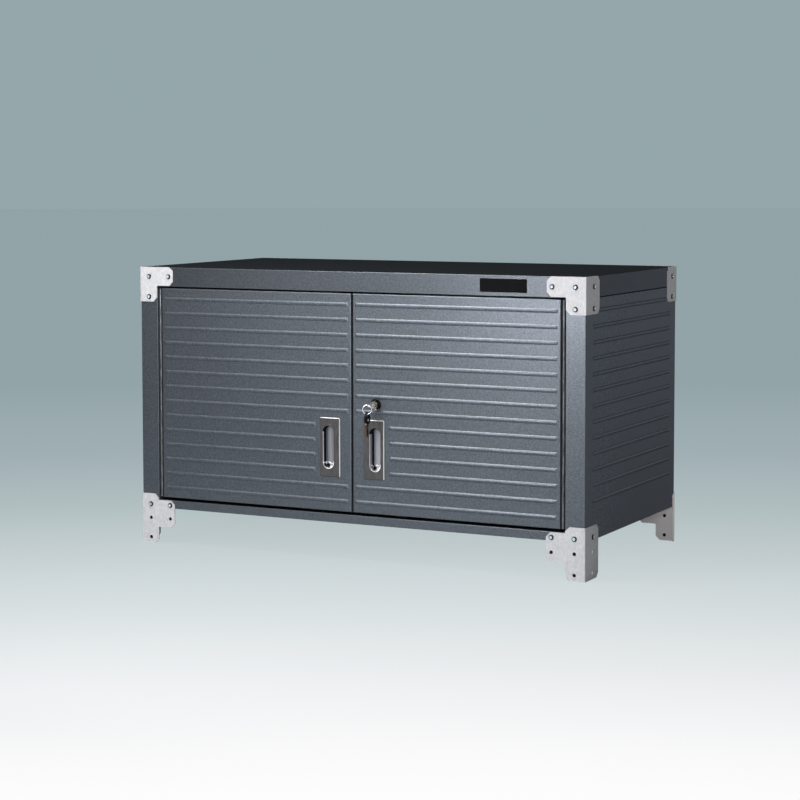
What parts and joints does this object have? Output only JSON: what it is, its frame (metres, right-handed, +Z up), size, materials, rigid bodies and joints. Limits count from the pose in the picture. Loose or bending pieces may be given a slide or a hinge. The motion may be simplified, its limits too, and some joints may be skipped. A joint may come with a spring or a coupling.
{
  "type": "hanging wall cabinet",
  "caption": "Hanging steel wall cabinet with two hinged ribbed doors, flush pulls, a cam lock with keys, an adjustable shelf, wall rails and corner feet.",
  "frame": {"origin": "middle of the whole part's footprint, on the surface under the feet", "axes": "+X to the right as seen from the front, +Y from the doors to the wall, +Z up"},
  "size_m": [0.9226, 0.4972, 0.5305],
  "materials": {
    "graphite_paint": "metallic powder coat",
    "zinc_steel": "zinc plated, faint grain",
    "hinge_steel": "plain zinc",
    "handle_nickel": "brushed nickel, polished cup",
    "lock_nickel": "polished nickel",
    "black_plastic": "moulded",
    "black_enamel": "satin black",
    "stop_rubber": "matte"
  },
  "bodies": {
    "cabinet": {"top_panel": "graphite_paint", "bottom_panel": "graphite_paint", "back_panel": "graphite_paint", "upper_wall_rail": "graphite_paint", "lower_wall_rail": "graphite_paint", "shelf": "graphite_paint", "left_side_panel": "graphite_paint", "right_side_panel": "graphite_paint", "left_top_front_bracket": "zinc_steel", "right_top_front_bracket": "zinc_steel", "left_top_rear_bracket": "zinc_steel", "right_top_rear_bracket": "zinc_steel", "left_front_foot": "zinc_steel", "right_front_foot": "zinc_steel", "left_rear_foot": "zinc_steel", "right_rear_foot": "zinc_steel", "bracket_screws": "zinc_steel", "left_hinge_post_leaf": "hinge_steel", "right_hinge_post_leaf": "hinge_steel", "left_hinge_pin": "hinge_steel", "right_hinge_pin": "hinge_steel", "left_front_shelf_standard": "hinge_steel", "right_front_shelf_standard": "hinge_steel", "left_rear_shelf_standard": "hinge_steel", "right_rear_shelf_standard": "hinge_steel", "shelf_clips": "hinge_steel", "left_magnet_catch": "black_plastic", "right_magnet_catch": "black_plastic", "badge_plate": "black_enamel", "left_door_stop": "stop_rubber", "right_door_stop": "stop_rubber"},
    "left_door": {"left_door": "graphite_paint", "left_door_stiffener": "graphite_paint", "left_hinge_door_leaf": "hinge_steel", "left_handle": "handle_nickel", "left_handle_screws": "hinge_steel", "left_strike_plate": "hinge_steel"},
    "right_door": {"right_door": "graphite_paint", "right_door_stiffener": "graphite_paint", "right_hinge_door_leaf": "hinge_steel", "right_handle": "handle_nickel", "right_handle_screws": "hinge_steel", "right_strike_plate": "hinge_steel", "lock_body": "lock_nickel", "lock_nut": "hinge_steel"},
    "lock_core": {"lock_plug": "lock_nickel", "lock_cam": "hinge_steel", "cam_screw": "hinge_steel", "key": "lock_nickel"},
    "key_ring": {"key_ring": "lock_nickel"},
    "spare_key": {"spare_key": "lock_nickel", "spare_key_cover": "black_plastic"}
  },
  "joints": [
    {"name": "left_door_hinge", "type": "hinge", "parent": "cabinet", "child": "left_door", "pos_m": [-0.4156, -0.20932, 0.29], "axis": [0, 0, -1], "range_deg": [0, 105]},
    {"name": "right_door_hinge", "type": "hinge", "parent": "cabinet", "child": "right_door", "pos_m": [0.4156, -0.20932, 0.29], "axis": [0, 0, 1], "range_deg": [0, 105]},
    {"name": "lock_turn", "type": "hinge", "parent": "right_door", "child": "lock_core", "pos_m": [0.049, -0.21272, 0.2895], "axis": [0, -1, 0], "range_deg": [0, 90]},
    {"name": "key_ring_swing", "type": "hinge", "parent": "lock_core", "child": "key_ring", "pos_m": [0.049, -0.23642, 0.2895], "axis": [0, 1, 0], "range_deg": [0, 90]},
    {"name": "spare_key_swing", "type": "hinge", "parent": "key_ring", "child": "spare_key", "pos_m": [0.04485, -0.23863, 0.2727], "axis": [1, 0, 0], "range_deg": [-20, 10]}
  ]
}
